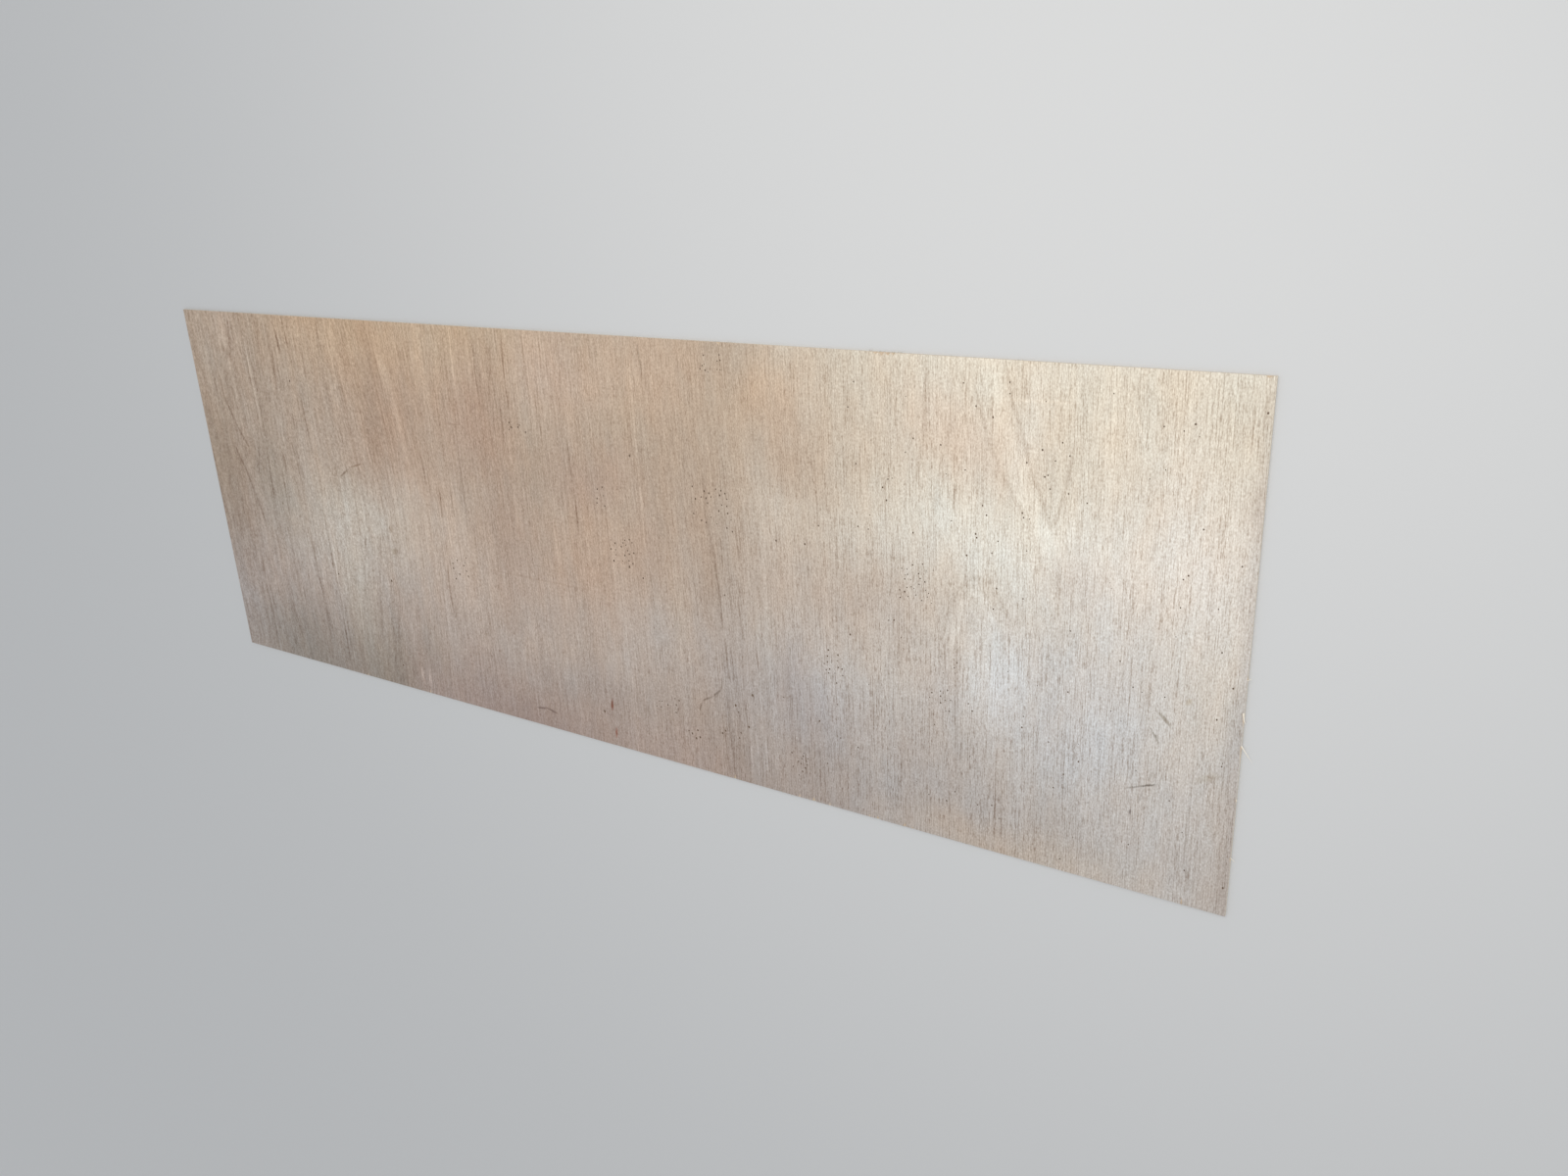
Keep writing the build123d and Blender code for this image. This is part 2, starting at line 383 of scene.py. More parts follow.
# Each line: half its width, how much lighter it is, and the points it runs through
FIGURE = [
    # The left figure
    (0.0040, -0.24, (0.165, 0.842), (0.146, 0.735)),
    (0.0220, 0.09, (0.125, 0.850), (0.128, 0.780)),
    (0.0080, -0.16, (0.124, 0.768), (0.142, 0.744)),
    (0.0034, -0.27, (0.222, 0.805), (0.223, 0.545)),
    (0.0034, 0.24, (0.212, 0.800), (0.2125, 0.560)),
    (0.0034, -0.27, (0.218, 0.535), (0.214, 0.400)),
    (0.0042, -0.26, (0.087, 0.705), (0.089, 0.655), (0.118, 0.587), (0.153, 0.522)),
    (0.0042, -0.26, (0.096, 0.530), (0.122, 0.472), (0.140, 0.417), (0.160, 0.345)),
    (0.0036, -0.20, (0.192, 0.545), (0.171, 0.465)),
    (0.0038, -0.32, (0.277, 0.525), (0.277, 0.480)),
    (0.0034, -0.22, (0.263, 0.490), (0.259, 0.350)),
    (0.0038, -0.24, (0.317, 0.560), (0.327, 0.475)),
    (0.0034, -0.32, (0.380, 0.665), (0.384, 0.570)),
    (0.0050, -0.20, (0.269, 0.668), (0.264, 0.648)),
    (0.0034, -0.28, (0.338, 0.625), (0.338, 0.590)),
    (0.0034, -0.32, (0.360, 0.842), (0.363, 0.780)),
    (0.0040, -0.32, (0.331, 0.815), (0.332, 0.765)),
    (0.0050, -0.22, (0.272, 0.842), (0.268, 0.800)),
    (0.0034, -0.34, (0.303, 0.760), (0.300, 0.700)),
    (0.0034, -0.18, (0.476, 0.842), (0.469, 0.750)),
    (0.0038, -0.22, (0.258, 0.282), (0.258, 0.230)),
    (0.0034, -0.21, (0.260, 0.205), (0.260, 0.150)),
    (0.0050, -0.22, (0.326, 0.330), (0.325, 0.252), (0.334, 0.182), (0.332, 0.080)),
    (0.0034, -0.27, (0.388, 0.430), (0.389, 0.240)),
    (0.0034, -0.22, (0.393, 0.155), (0.391, 0.015)),
    (0.0034, 0.20, (0.398, 0.360), (0.398, 0.090)),
    (0.0040, -0.22, (0.116, 0.260), (0.116, 0.185), (0.116, 0.020)),
    (0.0040, -0.16, (0.190, 0.345), (0.201, 0.257), (0.204, 0.152), (0.224, 0.050)),
    (0.0060, 0.08, (0.100, 0.560), (0.130, 0.500), (0.152, 0.435), (0.170, 0.370)),
    (0.0040, 0.16, (0.522, 0.842), (0.509, 0.740), (0.500, 0.640)),
    (0.0040, -0.14, (0.412, 0.800), (0.410, 0.680)),
    (0.0034, -0.14, (0.575, 0.370), (0.553, 0.272), (0.533, 0.150)),
    (0.0034, -0.14, (0.566, 0.350), (0.540, 0.232), (0.524, 0.100)),
    (0.0034, -0.17, (0.525, 0.365), (0.503, 0.290), (0.495, 0.210)),
    (0.0034, 0.20, (0.466, 0.205), (0.454, 0.097), (0.446, 0.015)),
    (0.0120, 0.13, (0.658, 0.780), (0.678, 0.695), (0.700, 0.595)),
    (0.0070, 0.14, (0.698, 0.600), (0.706, 0.540)),
    (0.0034, -0.20, (0.747, 0.575), (0.749, 0.510)),
    (0.0024, -0.30, (0.787, 0.505), (0.788, 0.430)),
    (0.0030, 0.20, (0.760, 0.842), (0.763, 0.690)),
    (0.0034, -0.30, (0.779, 0.325), (0.778, 0.225)),
    # The middle
    (0.0220, 0.06, (0.788, 0.850), (0.790, 0.700)),
    (0.0300, -0.06, (0.968, 0.830), (0.968, 0.690)),
    (0.0028, -0.18, (0.817, 0.660), (0.818, 0.530)),
    (0.0024, -0.18, (0.822, 0.520), (0.822, 0.455)),
    (0.0028, -0.18, (0.862, 0.630), (0.862, 0.460)),
    (0.0028, -0.24, (0.940, 0.842), (0.942, 0.660)),
    (0.0028, -0.16, (0.984, 0.820), (0.984, 0.730)),
    (0.0028, -0.22, (0.998, 0.705), (0.997, 0.630)),
    (0.0028, -0.36, (1.021, 0.842), (1.019, 0.745)),
    (0.0028, -0.28, (1.020, 0.730), (1.022, 0.690)),
    (0.0026, -0.18, (1.010, 0.580), (1.010, 0.540)),
    (0.0034, 0.20, (1.012, 0.680), (1.010, 0.545)),
    (0.0034, 0.14, (1.008, 0.540), (1.006, 0.440)),
    (0.0028, -0.16, (1.077, 0.842), (1.076, 0.720)),
    (0.0026, -0.16, (1.092, 0.740), (1.100, 0.640)),
    (0.0032, 0.24, (0.880, 0.842), (0.878, 0.690)),
    (0.0028, -0.20, (1.165, 0.640), (1.166, 0.560)),
    (0.0028, -0.28, (1.170, 0.520), (1.172, 0.460)),
    (0.0036, 0.18, (1.333, 0.820), (1.336, 0.590), (1.338, 0.440)),
    (0.0200, 0.06, (1.225, 0.240), (1.230, 0.150)),
    (0.0040, -0.12, (1.240, 0.600), (1.240, 0.570)),
    (0.0026, -0.30, (1.356, 0.832), (1.362, 0.775)),
    # The grey streaks
    (0.0040, -0.12, (1.477, 0.650), (1.485, 0.546), (1.490, 0.493)),
    (0.0038, -0.27, (1.490, 0.495), (1.497, 0.449), (1.500, 0.405), (1.505, 0.357), (1.507, 0.315)),
    (0.0045, -0.10, (1.507, 0.320), (1.508, 0.195), (1.514, 0.010)),
    (0.0030, -0.22, (1.511, 0.495), (1.515, 0.467), (1.516, 0.440)),
    (0.0028, -0.20, (1.548, 0.518), (1.550, 0.486), (1.553, 0.455)),
    (0.0028, -0.16, (1.543, 0.370), (1.549, 0.338), (1.551, 0.300)),
    (0.0026, -0.18, (1.624, 0.332), (1.625, 0.262)),
    (0.0026, -0.18, (1.626, 0.648), (1.627, 0.600)),
    (0.0030, -0.06, (1.526, 0.400), (1.529, 0.205), (1.532, 0.010)),
    (0.0022, -0.18, (1.504, 0.188), (1.508, 0.131), (1.512, 0.062), (1.514, 0.008)),
    (0.0022, -0.22, (1.494, 0.115), (1.498, 0.054), (1.502, 0.015)),
    (0.0024, -0.20, (1.508, 0.292), (1.512, 0.223), (1.515, 0.208)),
    (0.0024, -0.20, (1.519, 0.292), (1.524, 0.200)),
    (0.0024, -0.16, (1.487, 0.269), (1.489, 0.212)),
    (0.0024, -0.18, (1.577, 0.292), (1.581, 0.246)),
    (0.0024, -0.16, (1.548, 0.165), (1.550, 0.119)),
    (0.0030, 0.20, (1.556, 0.100), (1.556, 0.015)),
    (0.0030, 0.16, (1.569, 0.115), (1.573, 0.015)),
    (0.0030, 0.16, (1.589, 0.123), (1.592, 0.030)),
    (0.0030, 0.14, (1.612, 0.085), (1.615, 0.015)),
    (0.0030, -0.06, (1.545, 0.380), (1.549, 0.195), (1.552, 0.010)),
    (0.0060, 0.09, (1.604, 0.600), (1.608, 0.300), (1.618, 0.030)),
    # The right figure
    (
        0.0200, 0.08,
        (2.025, 0.860), (2.048, 0.770), (2.066, 0.712),
        (2.086, 0.655), (2.112, 0.600), (2.136, 0.560),
    ),
    (0.0110, 0.06, (2.184, 0.700), (2.174, 0.620), (2.152, 0.560)),
    (
        0.0045, -0.14,
        (2.054, 0.842), (2.069, 0.785), (2.085, 0.736),
        (2.098, 0.690), (2.118, 0.640), (2.136, 0.594),
    ),
    (
        0.0050, -0.10,
        (2.008, 0.800), (2.030, 0.725), (2.052, 0.670),
        (2.090, 0.610), (2.116, 0.556), (2.124, 0.520),
    ),
    (0.0045, -0.17, (2.166, 0.722), (2.157, 0.654), (2.148, 0.624), (2.138, 0.594)),
    (0.0180, -0.06, (2.140, 0.515), (2.165, 0.508)),
    (0.0060, -0.11, (1.926, 0.842), (1.921, 0.705), (1.905, 0.640)),
    (0.0050, -0.10, (1.969, 0.760), (1.957, 0.695), (1.945, 0.640), (1.935, 0.570)),
    (0.0140, -0.05, (2.190, 0.845), (2.186, 0.720)),
    (0.0120, -0.05, (2.182, 0.700), (2.180, 0.580)),
    (0.0050, -0.09, (1.960, 0.410), (1.968, 0.437), (1.982, 0.470), (1.999, 0.488), (2.016, 0.496)),
    (0.0050, -0.06, (2.016, 0.496), (2.034, 0.490), (2.054, 0.460), (2.080, 0.425)),
    (0.0080, 0.13, (1.974, 0.375), (1.988, 0.438), (2.008, 0.470), (2.026, 0.462), (2.042, 0.425)),
    (0.0060, -0.09, (2.005, 0.430), (2.008, 0.400)),
    (0.0025, 0.10, (2.224, 0.842), (2.223, 0.650)),
    (0.0060, 0.05, (2.421, 0.730), (2.392, 0.600)),
    (0.0050, -0.12, (1.979, 0.400), (1.981, 0.130)),
    (0.0020, -0.32, (2.054, 0.165), (2.055, 0.010)),
    (0.0018, -0.14, (2.170, 0.250), (2.172, 0.090)),
    (0.0018, -0.08, (2.247, 0.300), (2.249, 0.060)),
    (0.0018, -0.15, (2.370, 0.160), (2.378, 0.000)),
    (0.0020, -0.26, (1.975, 0.645), (1.975, 0.605)),
    (0.0022, -0.22, (1.719, 0.600), (1.721, 0.535)),
    (0.0022, -0.20, (1.853, 0.605), (1.850, 0.555)),
]


def across_grain(graph, x, y):
    """x as the grain sees it, whose fibres wander, bulge in one leaf and slant in another."""
    where = graph.point(x, y)
    wander = graph.noise(x, y, FIBRE_WAVE)
    bulge = graph.step(graph.spot(where, *BULGE), 0.0, 1.0)
    slant = graph.spot(where, *SLANT)
    moved = graph.plus(graph.plus(x, wander, FIBRE_WANDER), bulge, BULGE_SHIFT)
    return graph.plus(moved, slant, SLANT_SHIFT)


def stroke(graph, where, start, end, half_width):
    """A soft stroke over the way between two points, 1 in its middle and 0 at its rim."""
    run_x = end[0] - start[0]
    run_y = end[1] - start[1]
    middle_x = (start[0] + end[0]) / 2
    middle_y = (start[1] + end[1]) / 2
    half_length = STROKE_REACH * math.hypot(run_x, run_y) + half_width
    turn = math.degrees(math.atan2(run_y, run_x))
    return graph.spot(where, middle_x, middle_y, half_length, half_width, turn)


def drawn_figure(graph, x, y):
    """The figure's lines, each a chain of strokes."""
    shake = graph.noise(x, y, FIGURE_WAVE, detail=2.0)
    where = graph.point(graph.plus(x, shake, FIGURE_SHAKE), y)
    figure = 0.0
    for half_width, lighter, *points in FIGURE:
        line = 0.0
        for start, end in zip(points, points[1:]):
            line = graph.math("MAXIMUM", line, stroke(graph, where, start, end, half_width))
        figure = graph.add(figure, graph.ramp(line, STROKE_FULL, lighter))
    return figure


def face_grain(graph, x, y):
    """How much lighter or darker the grain makes each point, and how high it stands."""
    across = across_grain(graph, x, y)
    closer = graph.times(across, graph.plus(1.0, across, CLOSING))
    right = graph.step(x, *LEFT_TO_RIGHT)
    layers = []
    for layer_x, table in ((closer, GRAIN), (across, SPECKLE)):
        for *features, at_left, at_right in table:
            layer = graph.noise(layer_x, y, features)
            layers.append(graph.times(layer, graph.between(right, at_left, at_right)))
    row = graph.noise(across, y, (PORE_ROWS, PORES_IN_ROW))
    tick = graph.noise(across, y, (PORE_ROWS, TICKS_IN_ROW))
    pores = graph.step(graph.add(row, tick), *TICK_EDGE)
    pores = graph.times(pores, graph.between(right, *TICK_TONES))
    coarse = graph.spot(graph.point(x, y), *COARSE_PORES)
    pores = graph.times(pores, graph.plus(1.0, coarse, COARSER))
    figure = graph.times(drawn_figure(graph, x, y), graph.plus(1.0, tick, FIGURE_BREAKS))
    relief = graph.total(layers[-1], layers[-2], pores)
    return graph.total(*layers, pores, figure), relief


# Scratches and stains on the good face
MARKS = [
    # x, y, half_length, half_width, turn, tint
    (0.485, 0.502, 0.030, 0.0036, 33, (0.62, 0.56, 0.51)),
    (0.530, 0.524, 0.028, 0.0032, 16, (0.68, 0.62, 0.56)),
    (2.4375, 0.420, 0.0800, 0.0030, 90, (1.05, 1.06, 1.08)),
    (2.326, 0.3155, 0.022, 0.0046, -44, (0.64, 0.60, 0.54)),
    (2.3125, 0.285, 0.019, 0.0028, -56, (0.62, 0.60, 0.56)),
    (2.2935, 0.191, 0.036, 0.0022, 22, (0.68, 0.66, 0.64)),
    (2.309, 0.197, 0.017, 0.0028, 20, (0.56, 0.54, 0.52)),
    (2.282, 0.142, 0.007, 0.0026, 88, (0.45, 0.42, 0.42)),
    (2.297, 0.172, 0.015, 0.0030, 76, (0.78, 0.76, 0.75)),
    (2.311, 0.215, 0.013, 0.0030, 70, (0.78, 0.76, 0.74)),
    (2.261, 0.765, 0.050, 0.0030, -70, (1.16, 1.17, 1.18)),
    (1.014, 0.0405, 0.022, 0.0034, 9, (0.54, 0.49, 0.46)),
    (1.043, 0.0400, 0.021, 0.0036, -12, (0.54, 0.49, 0.46)),
    (1.496, 0.200, 0.018, 0.0026, 80, (0.62, 0.58, 0.54)),
    (1.483, 0.177, 0.018, 0.0032, 44, (0.56, 0.52, 0.48)),
    (1.459, 0.160, 0.021, 0.0028, 29, (0.62, 0.58, 0.54)),
    (1.442, 0.140, 0.018, 0.0026, 72, (0.68, 0.64, 0.60)),
    (1.484, 0.173, 0.020, 0.0020, 52, (0.76, 0.73, 0.70)),
    (1.214, 0.092, 0.019, 0.0050, 82, (0.56, 0.26, 0.17)),
    (1.2185, 0.030, 0.017, 0.0040, 84, (0.68, 0.36, 0.27)),
    (1.191, 0.073, 0.004, 0.0040, 0, (0.46, 0.38, 0.34)),
    (0.645, 0.040, 0.034, 0.0070, 96, (1.30, 1.31, 1.32)),
    (0.669, 0.038, 0.032, 0.0070, 80, (1.28, 1.29, 1.30)),
    (1.070, 0.338, 0.240, 0.0030, 0, (0.92, 0.90, 0.88)),
    (0.858, 0.645, 0.036, 0.0022, 2, (0.84, 0.80, 0.78)),
    (0.613, 0.388, 0.014, 0.0100, 50, (0.84, 0.80, 0.76)),
    (0.613, 0.335, 0.014, 0.0110, 20, (0.82, 0.78, 0.72)),
    (2.360, 0.352, 0.010, 0.0060, 60, (0.82, 0.76, 0.68)),
    (2.395, 0.232, 0.030, 0.0100, 30, (0.92, 0.90, 0.86)),
    (2.110, 0.787, 0.080, 0.0040, 1, (1.08, 1.08, 1.08)),
    (0.205, 0.510, 0.120, 0.0030, 86, (0.86, 0.84, 0.84)),
]
# How far the rims of the marks are frayed, and how far in from its rim a mark is whole
MARK_FRAY = 0.004
MARK_FULL = 0.75


def marked_tone(graph, tone, x, y):
    """The veneer's tone with its scratches and stains over it."""
    fray = graph.noise(x, y, MARK_RIMS, detail=2.0)
    where = graph.point(graph.plus(x, fray, MARK_FRAY), graph.plus(y, fray, MARK_FRAY))
    return graph.tint_spots(tone, where, MARKS, MARK_FULL)


# Where two leaves of veneer meet
SEAMS = [
    # x, how much darker the leaf to its right is, the y where that starts to fade to the front
    (0.388, -0.03, 0.0),
    (0.582, 0.08, 0.62),
    (1.505, 0.02, 0.0),
    (1.618, -0.03, 0.0),
    (2.372, 0.02, 0.0),
]
# How far a seam wavers, half the width over which one leaf turns into the next, how far beyond
# the seam a leaf's own tone ends and starts to fade, and over how much of y it fades
SEAM_WAVER = 0.004
SEAM_BLUR = 0.0008
LEAF_FADE = (0.16, 0.02)
FRONT_FADE = 0.15
# The hairline along a seam: how far from it the line ends and is whole, and how much lighter it is
HAIRLINE = (0.0011, 0.0003)
HAIRLINE_TONE = -0.05


def seam_shade(graph, x, y):
    """Each leaf's own lightness, and the hairlines between leaves."""
    factor = 1.0
    waved_x = graph.plus(x, graph.noise(x, y, SEAM_WAVE), SEAM_WAVER)
    for seam_x, darker, fade_y in SEAMS:
        beyond = graph.add(waved_x, -seam_x)
        shows = graph.step(y, fade_y - FRONT_FADE, fade_y)
        past = graph.times(graph.step(beyond, -SEAM_BLUR, SEAM_BLUR), graph.step(beyond, *LEAF_FADE))
        leaf = graph.times(graph.times(past, shows), -darker)
        line = graph.step(graph.math("ABSOLUTE", beyond), *HAIRLINE)
        factor = graph.total(factor, leaf, graph.times(line, HAIRLINE_TONE))
    return factor


# Wood where it is sawn along its grain and across it, where it is broken, where it is split
# freshly or has gathered dust, and in a pinhole, and the glue between the plies
# The sawn tones are pale partly as a painted highlight, so that the thin edges show as bright lit
# lines
LONG_WOOD = colour(226, 216, 200)
CUT_WOOD = colour(222, 211, 195)
BROKEN_WOOD = colour(198, 178, 154)
FRESH_WOOD = colour(238, 230, 216)
DUSTY_WOOD = colour(184, 174, 160)
# The inside of a pinhole is dark wood, darkened further as painted shade in the hole
PINHOLE_WOOD_AND_SHADE = colour(122, 103, 87)
GLUE = colour(92, 66, 46)
# Half the height over which one ply turns into the next, how far from its middle a glue line
# ends and is whole, and how strongly it shows
PLY_BLUR = 0.00006
GLUE_LINE = (0.00013, 0.00005)
GLUE_SHOWS = 0.7


def edge_tone(graph, along, level, end_grain):
    """The plies on a cut edge. end_grain is 1 where the face veneers are cut across their grain."""
    in_core = graph.times(
        graph.step(level, CORE_BOTTOM - PLY_BLUR, CORE_BOTTOM + PLY_BLUR),
        graph.step(level, CORE_TOP + PLY_BLUR, CORE_TOP - PLY_BLUR),
    )
    cut_across = graph.math("ABSOLUTE", graph.plus(in_core, end_grain, -1.0))
    streak = graph.noise(along, level, LONG_STREAKS, detail=2.0)
    pore = graph.noise(along, level, CUT_PORES)
    long_wood = graph.mottled(LONG_WOOD, streak, LONG_CONTRAST)
    cut_wood = graph.mottled(CUT_WOOD, pore, CUT_CONTRAST)
    tone = graph.blend(cut_across, long_wood, cut_wood)
    for joint in (CORE_BOTTOM, CORE_TOP):
        line = graph.step(graph.math("ABSOLUTE", graph.add(level, -joint)), *GLUE_LINE)
        tone = graph.blend(graph.times(line, GLUE_SHOWS), tone, GLUE)
    return tone


# How much of its normal points a way where a surface starts to count, and wholly counts, as the
# back, as either face, as an end or as the floor of a chip. A chip's floor has a least depth too.
BACK_FACING = (-0.4, -0.6)
FLAT_FACING = (0.96, 0.99)
END_FACING = (0.6, 0.8)
CHIP_FACING = (0.15, 0.25)
CHIP_DEPTH = (0.00003, 0.00012)
# The back face takes its figure from x beyond the good face's patches and marks
BACK_FIGURE_X = 4.0
# How much of the grain red, green and blue take
GRAIN_TINT = (0.87, 1.02, 1.13)
BUMP_STRENGTH = 0.5
BUMP_HEIGHT = 0.0004
# How rough the woods are, and how much the grain's relief adds to the veneer's roughness
VENEER_ROUGHNESS = 0.70
RELIEF_ROUGHNESS = -0.2
PINHOLE_ROUGHNESS = 0.9
SPLINTER_ROUGHNESS = 0.75


def plywood_material():
    """Raw rotary-cut veneer on both faces, sawn plies on the edges, and fresh wood in the chips."""
    graph = Graph("plywood")
    frame_x, frame_y, frame_z = graph.coordinates("Object")
    normal_x, _, normal_z = graph.coordinates("Normal")
    behind = graph.step(normal_z, *BACK_FACING)
    x = graph.plus(graph.add(frame_x, -LOW.x), behind, BACK_FIGURE_X)
    y = graph.add(frame_y, -LOW.y)
    level = graph.add(frame_z, -LOW.z)

    grain, relief = face_grain(graph, x, y)
    face = graph.tinted(patchy_tone(graph, x, y), grain, GRAIN_TINT)
    face = graph.shade(face, seam_shade(graph, x, y))
    face = marked_tone(graph, face, x, y)

    on_end = graph.step(graph.math("ABSOLUTE", normal_x), *END_FACING)
    on_long_edge = graph.plus(1.0, on_end, -1.0)
    along = graph.add(graph.times(x, on_long_edge), graph.times(y, on_end))
    sawn = edge_tone(graph, along, level, on_long_edge)
    broken = graph.mottled(BROKEN_WOOD, relief, BROKEN_CONTRAST)
    depth = graph.plus(THICKNESS, level, -1.0)
    in_chip = graph.times(graph.step(depth, *CHIP_DEPTH), graph.step(normal_z, *CHIP_FACING))

    on_face = graph.step(graph.math("ABSOLUTE", normal_z), *FLAT_FACING)
    tone = graph.blend(in_chip, graph.blend(on_face, sawn, face), broken)
    graph.feed(graph.shader.inputs["Base Color"], tone)
    roughness = graph.plus(VENEER_ROUGHNESS, relief, RELIEF_ROUGHNESS)
    graph.feed(graph.shader.inputs["Roughness"], roughness)

    bump = graph.node("ShaderNodeBump")
    bump.inputs["Strength"].default_value = BUMP_STRENGTH
    bump.inputs["Distance"].default_value = BUMP_HEIGHT
    graph.feed(bump.inputs["Height"], relief)
    graph.feed(graph.shader.inputs["Normal"], bump.outputs[0])
    return graph.material


def rough_material(name, wood, features, detail, contrast, roughness):
    """Bare wood of one colour, with a noise over it."""
    graph = Graph(name)
    x, y, _ = graph.coordinates("Object")
    tone = graph.mottled(wood, graph.noise(x, y, features, detail), contrast)
    graph.feed(graph.shader.inputs["Base Color"], tone)
    graph.shader.inputs["Roughness"].default_value = roughness
    return graph.material


def pinhole_material():
    """The dark inside of a pinhole, partly painted shade."""
    return rough_material(
        "pinhole", PINHOLE_WOOD_AND_SHADE, PINHOLE_MOTTLE, 1.0, PINHOLE_CONTRAST, PINHOLE_ROUGHNESS
    )


def splinter_material(name, wood):
    """Split wood, with streaks along it."""
    return rough_material(
        name, wood, SPLINTER_STREAKS, 2.0, SPLINTER_CONTRAST, SPLINTER_ROUGHNESS
    )


# Clusters of pinholes on the good face
PINHOLE_CLUSTERS = [
    # x, y, half_x, half_y, count, largest radius
    (1.513, 0.808, 0.024, 0.020, 14, 0.0016),
    (1.500, 0.548, 0.044, 0.042, 30, 0.0018),
    (1.280, 0.435, 0.030, 0.026, 24, 0.0019),
    (1.236, 0.540, 0.014, 0.024, 8, 0.0019),
    (1.422, 0.078, 0.016, 0.012, 10, 0.0022),
    (1.530, 0.098, 0.006, 0.008, 4, 0.0022),
    (1.370, 0.128, 0.040, 0.020, 10, 0.0018),
    (1.743, 0.285, 0.020, 0.018, 20, 0.0016),
    (1.665, 0.070, 0.018, 0.026, 20, 0.0018),
    (1.038, 0.653, 0.024, 0.010, 10, 0.0024),
    (0.817, 0.328, 0.025, 0.030, 14, 0.0024),
    (1.908, 0.468, 0.036, 0.036, 30, 0.0015),
    (1.950, 0.255, 0.022, 0.040, 16, 0.0015),
    (2.170, 0.180, 0.004, 0.010, 6, 0.0015),
    (2.090, 0.440, 0.330, 0.380, 60, 0.0010),
]
# Pinholes by themselves, listed under their radius
SINGLE_PINHOLES = {
    0.0023: [
        (0.350, 0.700), (0.403, 0.250), (0.588, 0.262), (0.582, 0.053), (1.317, 0.625), (1.293, 0.403),
        (1.325, 0.385), (1.255, 0.410), (1.192, 0.072), (1.525, 0.160), (1.498, 0.100), (1.430, 0.085),
        (1.490, 0.093), (1.565, 0.190), (1.553, 0.121), (1.531, 0.147),
    ],
    0.0016: [
        (1.634, 0.504), (1.693, 0.506), (1.734, 0.315), (1.753, 0.309), (1.749, 0.254), (1.749, 0.212),
        (1.711, 0.170), (1.754, 0.146), (1.725, 0.087), (1.515, 0.382), (1.635, 0.201), (1.722, 0.543),
        (1.790, 0.136), (1.779, 0.353),
    ],
    0.0014: [
        (1.797, 0.795), (1.785, 0.753), (1.903, 0.712), (1.951, 0.706), (1.798, 0.660), (1.857, 0.640),
        (1.847, 0.625), (1.854, 0.604), (1.902, 0.555), (1.799, 0.552), (1.819, 0.550), (1.889, 0.688),
        (1.993, 0.670), (1.970, 0.584), (2.030, 0.601), (2.023, 0.616), (2.089, 0.612), (2.091, 0.605),
        (2.012, 0.568), (2.014, 0.562), (2.050, 0.561), (2.040, 0.540), (1.997, 0.530), (2.149, 0.728),
        (2.118, 0.714), (2.161, 0.709), (2.139, 0.699), (2.094, 0.692), (2.123, 0.673), (2.128, 0.676),
        (2.132, 0.655), (2.161, 0.651), (2.038, 0.757), (2.010, 0.772), (1.989, 0.806), (2.064, 0.812),
        (2.296, 0.765), (2.324, 0.761), (2.339, 0.772), (2.190, 0.640), (2.361, 0.622), (2.418, 0.575),
        (2.338, 0.543), (2.345, 0.550), (2.337, 0.499), (2.049, 0.482), (2.094, 0.472), (2.044, 0.446),
        (2.173, 0.432), (2.401, 0.440), (2.433, 0.795), (2.421, 0.387), (1.855, 0.393), (1.865, 0.395),
        (2.173, 0.328), (2.003, 0.270), (2.010, 0.258), (1.977, 0.330), (1.982, 0.340), (2.195, 0.210),
        (2.342, 0.179), (2.415, 0.257), (2.402, 0.332), (2.144, 0.233), (2.275, 0.358), (2.324, 0.352),
        (2.253, 0.397), (2.171, 0.022), (2.022, 0.083), (2.048, 0.089), (2.283, 0.083), (2.373, 0.063),
        (2.433, 0.050), (1.980, 0.097), (2.155, 0.152), (1.964, 0.075), (1.930, 0.078), (2.007, 0.172),
        (2.098, 0.248),
    ],
}
# How far a cluster's pinholes keep from the right end, from the other edges, and from other
# pinholes, there as a multiple of both radii
END_MARGIN = 0.004
EDGE_MARGIN = 0.02
PINHOLE_SPACING = 2.2
# A pinhole is a rough ring, longer along the grain and narrower at its floor
PINHOLE_SIDES = 7
PINHOLE_DEPTH = 0.0012
PINHOLE_STRETCH = 1.3
PINHOLE_FLARE = 0.3
# The least and the most of a radius, as a share of the listed one, for pinholes by themselves
# and in clusters, and of the way to a corner, as a share of the radius
SINGLE_SHARES = (0.75, 1.1)
CLUSTER_SHARES = (0.5, 1.0)
CORNER_SHARES = (0.85, 1.1)
PLACE_SEED = 11
CORNER_SEED = 5


def pinhole_places():
    """Every pinhole as (x, y, radius), none on another."""
    draw = random.Random(PLACE_SEED)
    found = []
    for listed, places in SINGLE_PINHOLES.items():
        for x, y in places:
            found.append((x, y, listed * draw.uniform(*SINGLE_SHARES)))
    for middle_x, middle_y, half_x, half_y, count, largest in PINHOLE_CLUSTERS:
        for _ in range(count):
            x = middle_x + half_x * draw.uniform(-1, 1)
            y = middle_y + half_y * draw.uniform(-1, 1)
            radius = largest * draw.uniform(*CLUSTER_SHARES)
            inside_x = EDGE_MARGIN < x < LENGTH - END_MARGIN
            inside_y = EDGE_MARGIN < y < WIDTH - EDGE_MARGIN
            clear = all(
                math.hypot(x - other_x, y - other_y) > PINHOLE_SPACING * (radius + other)
                for other_x, other_y, other in found
            )
            if inside_x and inside_y and clear:
                found.append((x, y, radius))
    return found


def finished_mesh(name, tool):
    """The mesh of what was built in a bmesh."""
    mesh = bpy.data.meshes.new(name)
    tool.to_mesh(mesh)
    tool.free()
    return mesh


